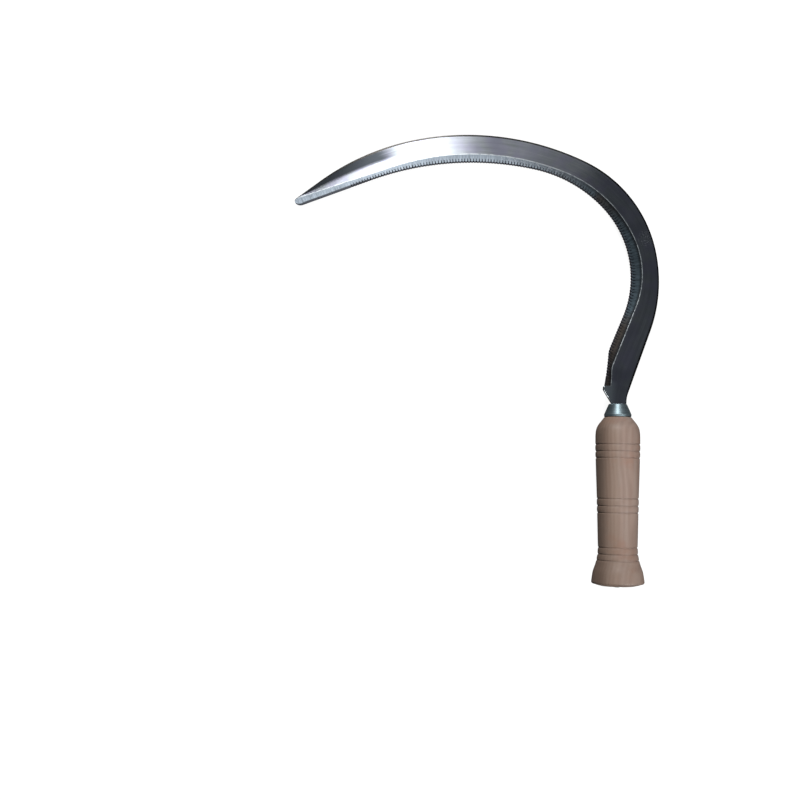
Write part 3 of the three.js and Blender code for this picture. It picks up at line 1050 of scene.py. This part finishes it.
def ground_steel():
    """The hollow-ground face: ground across, bright towards the tip, with painted shade in stain colours
    towards the heel.
    """
    s = Shader("ground_steel")
    brush = brushed_coordinates(s)
    along = s.parts(brush)[0]
    ridge, edge, painted_light_and_wear = s.parts(s.attribute("marks"))
    tool = s.attribute("tool")
    lines = s.noise(s.stretched(brush, (2.4, 0.12, 1)), 1.0, 2.0, 0.6)
    bright = s.mix(s.contrast(lines), rgb(0.19, 0.222, 0.255), rgb(0.36, 0.41, 0.465))
    stain_coloured = stain_coloured_shade(s, along, ridge, tool, lines)
    tone = s.mix(s.range(along, SHADED_TO, BRIGHT_FROM), stain_coloured, bright)
    # Light flecks: painted glints of small pits.
    pit_glints = s.times(s.range(along, *GLINT_RISE), s.range(along, *GLINT_FALL))
    tone = s.mix(s.times(s.times(pit_glints, s.flecks(tool, 1.1)), 0.6), tone, rgb(0.5, 0.52, 0.56))
    # Painted highlight along the ridge's corner, with some wear.
    tone = s.mix(ridge_highlight_and_wear(s, ridge, tool), tone, rgb(0.6, 0.65, 0.67))
    # Painted shade along the cutting edge.
    from_edge = s.math("SUBTRACT", edge, s.range(along, *TIP_EDGE_SHADE, 0.0, 0.7))
    near_edge = s.times(s.range(from_edge, 0.8, 1.5, 1.0, 0.0), 0.9)
    tone = s.mix(near_edge, tone, rgb(0.03, 0.03, 0.035))
    # Painted shade in the serrations and along the spine's rim.
    tone = s.mix(s.range(painted_light_and_wear, 0.01, 0.1), tone, rgb(0.012, 0.012, 0.016))
    return s.finish_steel(tone, s.contrast(lines, 0.46, 0.56), 0.6, lines)


def turned_steel(name, dark, light, roughness, anisotropic):
    """Steel with light turning lines round its axis."""
    s = Shader(name)
    tool = s.attribute("tool")
    x, y, z = s.parts(tool)
    radius = s.math("SQRT", s.plus(s.times(x, x), s.times(z, z)))
    lines = s.noise(s.joined(X=y, Y=radius), 4.0, 3.0, 0.6)
    cloud = s.noise(tool, 0.35, 3.0, 0.6)
    tone = s.mix(s.contrast(lines), dark, light)
    tone = s.mix(s.range(cloud, 0.4, 0.75, 0.0, 0.35), tone, dark)
    rough = s.contrast(lines, roughness - 0.04, roughness + 0.05)
    return s.finish_steel(tone, rough, anisotropic, lines)


def growth_rings(s, x, y, z, tool):
    """Rings about a pith outside the handle, from -1 to 1."""
    from_pith = s.joined(X=s.plus(x, PITH_X), Y=s.times(y, 0.04), Z=s.plus(z, PITH_Z))
    warp = s.noise(s.stretched(tool, (0.06, 0.012, 0.06)), 1.0)
    return s.math("SINE", s.times(s.plus(s.length(from_pith), s.times(warp, 9.0)), 2.2))


def side_shade_and_low_tone(s, x, y, stain):
    """Painted shade on both sides of the handle, and darker towards the butt."""
    left = s.range(s.plus(x, s.times(stain, 5.0)), *DARK_LEFT_X, 0.0, 0.62)
    right = s.range(x, *DARK_RIGHT_X, 0.0, 0.35)
    low = s.range(y, *DARK_LOW_Y, 0.0, 0.28)
    return s.math("MAXIMUM", s.math("MAXIMUM", left, right), low)


def handle_wood():
    """Bare turned hardwood: growth rings, pores, painted shade in the grooves and on both sides, darker
    towards the butt.
    """
    s = Shader("handle_wood")
    tool = s.attribute("tool")
    x, y, z = s.parts(tool)
    fibre = s.noise(s.stretched(tool, (2.2, 0.05, 2.2)), 1.0, 3.0, 0.6)
    pores = s.noise(s.stretched(tool, (4.5, 0.16, 4.5)), 1.0, 1.0)
    band = s.noise(s.stretched(tool, (0.16, 0.01, 0.16)), 1.0)
    stain = s.noise(s.stretched(tool, (0.05, 0.05, 0.05)), 1.0, 3.0, 0.6)
    rings = growth_rings(s, x, y, z, tool)
    tone = s.mix(s.range(rings, -1.0, 1.0), rgb(0.17, 0.117, 0.094), rgb(0.195, 0.138, 0.112))
    tone = s.mix(s.contrast(band), tone, s.mix(0.5, tone, rgb(0.205, 0.162, 0.136)))
    tone = s.mix(s.range(fibre, 0.45, 0.75, 0.0, 0.14), tone, rgb(0.14, 0.092, 0.07))
    tone = s.mix(s.range(pores, 0.62, 0.74, 0.0, 0.2), tone, rgb(0.09, 0.058, 0.045))
    tone = s.mix(s.range(stain, 0.52, 0.72, 0.0, 0.55), tone, rgb(0.185, 0.1, 0.07))
    warm = s.range(s.plus(x, s.times(band, 6.0)), *WARM_X, 0.0, 0.3)
    tone = s.mix(warm, tone, rgb(0.175, 0.118, 0.078))
    tone = s.mix(side_shade_and_low_tone(s, x, y, stain), tone, rgb(0.088, 0.057, 0.04))
    # Painted shade in the grooves.
    tone = s.mix(s.parts(s.attribute("groove"))[0], tone, rgb(0.065, 0.042, 0.033))
    turning = s.noise(s.joined(X=y), 2.5)
    height = s.plus(s.times(fibre, -0.5), s.times(turning, 0.5))
    height = s.math("SUBTRACT", height, s.range(pores, 0.62, 0.74, 0.0, 0.6))
    relief = s.bump(height, 0.5, WOOD_RELIEF)
    rough = s.range(fibre, 0.3, 0.75, 0.5, 0.66)
    return s.finish(Base_Color=tone, Roughness=rough, Normal=relief, Specular_IOR_Level=0.35)


# ---- Pieces ----
def tidied(mesh):
    """Drops what collapsed to nothing in the mesh, and turns its faces outwards."""
    shape = bmesh.new()
    shape.from_mesh(mesh)
    bmesh.ops.remove_doubles(shape, verts=shape.verts, dist=MERGE_DISTANCE)
    bmesh.ops.dissolve_degenerate(shape, edges=shape.edges, dist=MERGE_DISTANCE)
    bmesh.ops.recalc_face_normals(shape, faces=shape.faces)
    shape.to_mesh(mesh)
    shape.free()


def place(name, mesh, node, slot, materials, sharp_angle):
    """Puts a finished mesh where its CAD node is, to ride with it and stand for it."""
    material_indices = [polygon.material_index for polygon in mesh.polygons]
    store_vectors(mesh, "tool", [vertex.co[:] for vertex in mesh.vertices])
    mesh.transform(TOOL @ Matrix.Scale(MM, 4))
    mesh.polygons.foreach_set("use_smooth", [True] * len(mesh.polygons))
    mesh.set_sharp_from_angle(angle=math.radians(sharp_angle))
    mesh.materials.clear()
    for material in materials:
        mesh.materials.append(material)
    mesh.polygons.foreach_set("material_index", material_indices)
    piece = add_object(name, mesh)
    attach(piece, "root")
    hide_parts(node)


def mark_grooves(mesh):
    """How much painted shade each point of the handle has from the grooves, as the first number of a
    vector.
    """
    values = []
    for vertex in mesh.vertices:
        radius = math.hypot(vertex.co.x, vertex.co.z)
        depth = max(0.0, -groove_change(vertex.co.y)) / GROOVE_DEPTH
        dark = min(1.0, depth**1.5) * GROOVE_SHADE if radius > OUTSIDE_RADIUS else 0.0
        values.append((dark, 0.0, 0.0))
    store_vectors(mesh, "groove", values)


def make_blade():
    mesh = blade_mesh()
    tidied(mesh)
    steels = [blade_steel(), ground_steel()]
    place("sickle_blade", mesh, "blade", "blade_steel", steels, sharp_angle=28)


def make_ferrule():
    mesh = slotted(turned_mesh("drawn_ferrule", ferrule_profile()))
    turning_coordinates(mesh)
    steel = turned_steel("ferrule_steel", rgb(0.1, 0.142, 0.157), rgb(0.24, 0.292, 0.315), 0.5, 0.45)
    place("drawn_ferrule", mesh, "ferrule", "ferrule_steel", [steel], sharp_angle=35)


def make_handle():
    mesh = slotted(turned_mesh("turned_handle", handle_profile()))
    mark_grooves(mesh)
    place("turned_handle", mesh, "handle", "handle_wood", [handle_wood()], sharp_angle=40)


def make_washer():
    mesh = slotted(turned_mesh("rivet_washer", washer_profile()))
    turning_coordinates(mesh)
    steel = turned_steel("washer_steel", rgb(0.2, 0.21, 0.22), rgb(0.38, 0.39, 0.41), 0.46, 0.4)
    place("rivet_washer", mesh, "tang_washer", "washer_steel", [steel], sharp_angle=35)


# ---- Studio ----
def make_camera():
    data = bpy.data.cameras.new("camera")
    data.lens = CAMERA_LENS
    data.sensor_width = 36
    data.clip_start = 0.05
    data.clip_end = 50
    camera = add_object("camera", data)
    camera.location = (TOOL.translation.xy + CAMERA_FROM_BUTT).to_3d() + Vector((0, 0, CAMERA_HEIGHT))
    camera.rotation_euler = (0, 0, math.radians(CAMERA_ROLL))
    bpy.context.scene.camera = camera


def softbox(name, azimuth, zenith, distance, size, power):
    """A rectangular soft light that faces the target."""
    data = bpy.data.lights.new(name, "AREA")
    data.shape = "RECTANGLE"
    data.size, data.size_y = size
    data.energy = power
    light = add_object(name, data)
    a, z = math.radians(azimuth), math.radians(zenith)
    direction = Vector((math.cos(a) * math.sin(z), math.sin(a) * math.sin(z), math.cos(z)))
    light.location = LIGHT_TARGET + direction * distance
    light.rotation_mode = "QUATERNION"
    light.rotation_quaternion = direction.to_track_quat("Z", "Y")


def make_lights():
    for light in LIGHTS:
        softbox(*light)


def make_world():
    world = bpy.data.worlds.new("studio")
    bpy.context.scene.world = world
    world.use_nodes = True
    nodes, links = world.node_tree.nodes, world.node_tree.links
    background = nodes["Background"]
    place = nodes.new("ShaderNodeTexCoord")
    split = nodes.new("ShaderNodeSeparateXYZ")
    ramp = nodes.new("ShaderNodeValToRGB")
    ramp.color_ramp.elements[0].color = HORIZON_COLOUR
    ramp.color_ramp.elements[1].color = SKY_COLOUR
    ramp.color_ramp.elements[1].position = 0.55
    links.new(place.outputs["Generated"], split.inputs["Vector"])
    links.new(split.outputs["Z"], ramp.inputs["Fac"])
    links.new(ramp.outputs["Color"], background.inputs["Color"])


def make_floor():
    """A plain pale floor, which the steel sees as darker than the camera does."""
    mesh = bpy.data.meshes.new("floor")
    shape = bmesh.new()
    bmesh.ops.create_grid(shape, x_segments=2, y_segments=2, size=FLOOR_HALF_WIDTH)
    shape.to_mesh(mesh)
    shape.free()
    floor = add_object("floor", mesh)
    s = Shader("floor")
    s.finish(Base_Color=rgb(0.1, 0.1, 0.1), Roughness=0.9)
    matte = s.surface.outputs["BSDF"]
    glow = s.node("ShaderNodeEmission", {"Color": rgb(1, 1, 1), "Strength": FLOOR_BRIGHTNESS})
    both = s.node("ShaderNodeAddShader", {0: matte, 1: glow.outputs["Emission"]})
    seen = s.node("ShaderNodeLightPath").outputs["Is Camera Ray"]
    swap = s.node("ShaderNodeMixShader", {0: seen, 1: matte, 2: both.outputs["Shader"]})
    s.set(s.tree.nodes["Material Output"].inputs["Surface"], swap.outputs["Shader"])
    mesh.materials.append(s.material)


make_camera()
make_blade()
make_ferrule()
make_handle()
make_washer()
make_lights()
make_world()
make_floor()
bpy.context.scene.view_settings.view_transform = "Standard"
